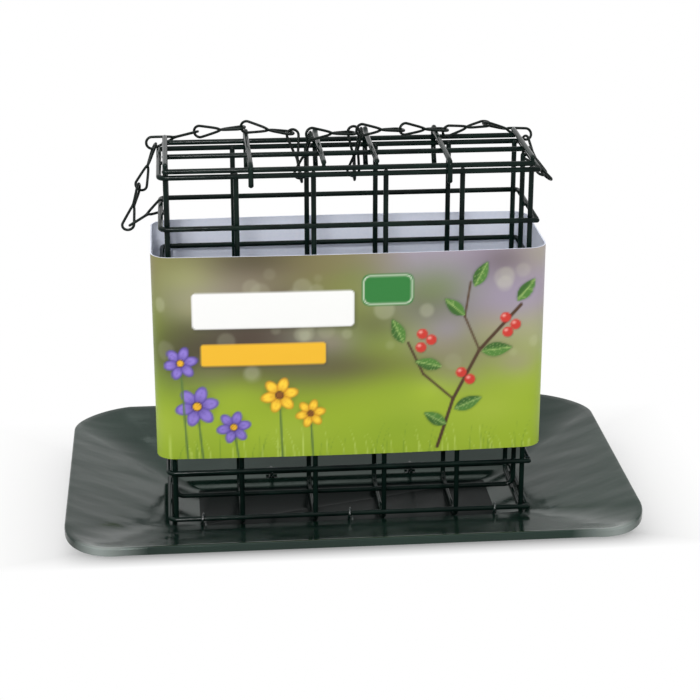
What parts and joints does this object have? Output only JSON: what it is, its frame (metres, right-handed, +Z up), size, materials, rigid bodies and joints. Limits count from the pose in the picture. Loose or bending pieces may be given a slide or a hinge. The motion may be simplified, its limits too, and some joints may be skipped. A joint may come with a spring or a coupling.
{
  "type": "suet feeder",
  "caption": "Hanging suet feeder: welded wire basket with a hinged wire lid, card sleeve, wide seed tray and double-loop hanging chain.",
  "frame": {"origin": "centre of the tray's underside", "axes": "+X along the long side of the tray and basket, +Y to the back (the side of the lid hinge), +Z up"},
  "size_m": [0.224, 0.1412, 0.1597],
  "materials": {
    "green_wire": "gloss plastic-coated wire",
    "dark_chain": "satin dark coating",
    "green_sheet": "gloss paint",
    "printed_card": "satin printed card"
  },
  "bodies": {
    "feeder": {"basket_ring_1": "green_wire", "basket_ring_2": "green_wire", "basket_ring_3": "green_wire", "basket_ring_4": "green_wire", "basket_ring_5": "green_wire", "basket_ring_6": "green_wire", "basket_ring_7": "green_wire", "basket_ring_8": "green_wire", "basket_hoop_1": "green_wire", "basket_hoop_2": "green_wire", "basket_hoop_3": "green_wire", "basket_hoop_4": "green_wire", "basket_hoop_5": "green_wire", "basket_hoop_6": "green_wire", "basket_end_hoop": "green_wire", "tray": "green_sheet", "tray_tie_1": "green_wire", "tray_tie_2": "green_wire", "tray_tie_3": "green_wire", "tray_tie_4": "green_wire", "tray_tie_5": "green_wire", "chain_link_1": "dark_chain", "chain_link_2": "dark_chain", "chain_link_3": "dark_chain", "chain_link_16": "dark_chain", "chain_link_17": "dark_chain"},
    "lid": {"lid_long_wire_back": "green_wire", "lid_long_wire_middle": "green_wire", "lid_long_wire_front": "green_wire", "lid_cross_wire_1": "green_wire", "lid_cross_wire_2": "green_wire", "lid_cross_wire_3": "green_wire", "lid_cross_wire_4": "green_wire", "lid_cross_wire_5": "green_wire", "lid_cross_wire_6": "green_wire", "chain_link_4": "dark_chain", "chain_link_5": "dark_chain", "chain_link_6": "dark_chain", "chain_link_7": "dark_chain", "chain_link_8": "dark_chain", "chain_link_9": "dark_chain", "chain_link_10": "dark_chain", "chain_link_11": "dark_chain", "chain_link_12": "dark_chain", "chain_link_13": "dark_chain", "chain_link_14": "dark_chain", "chain_link_15": "dark_chain"},
    "sleeve": {"card_sleeve": "printed_card"}
  },
  "joints": [
    {"name": "lid_hinge", "type": "hinge", "parent": "feeder", "child": "lid", "pos_m": [0, 0.02185, 0.14662], "axis": [-1, 0, 0], "range_deg": [0, 90]},
    {"name": "sleeve_slide", "type": "slide", "parent": "feeder", "child": "sleeve", "axis": [0, 0, 1], "range_m": [-0.026, 0.002]}
  ]
}
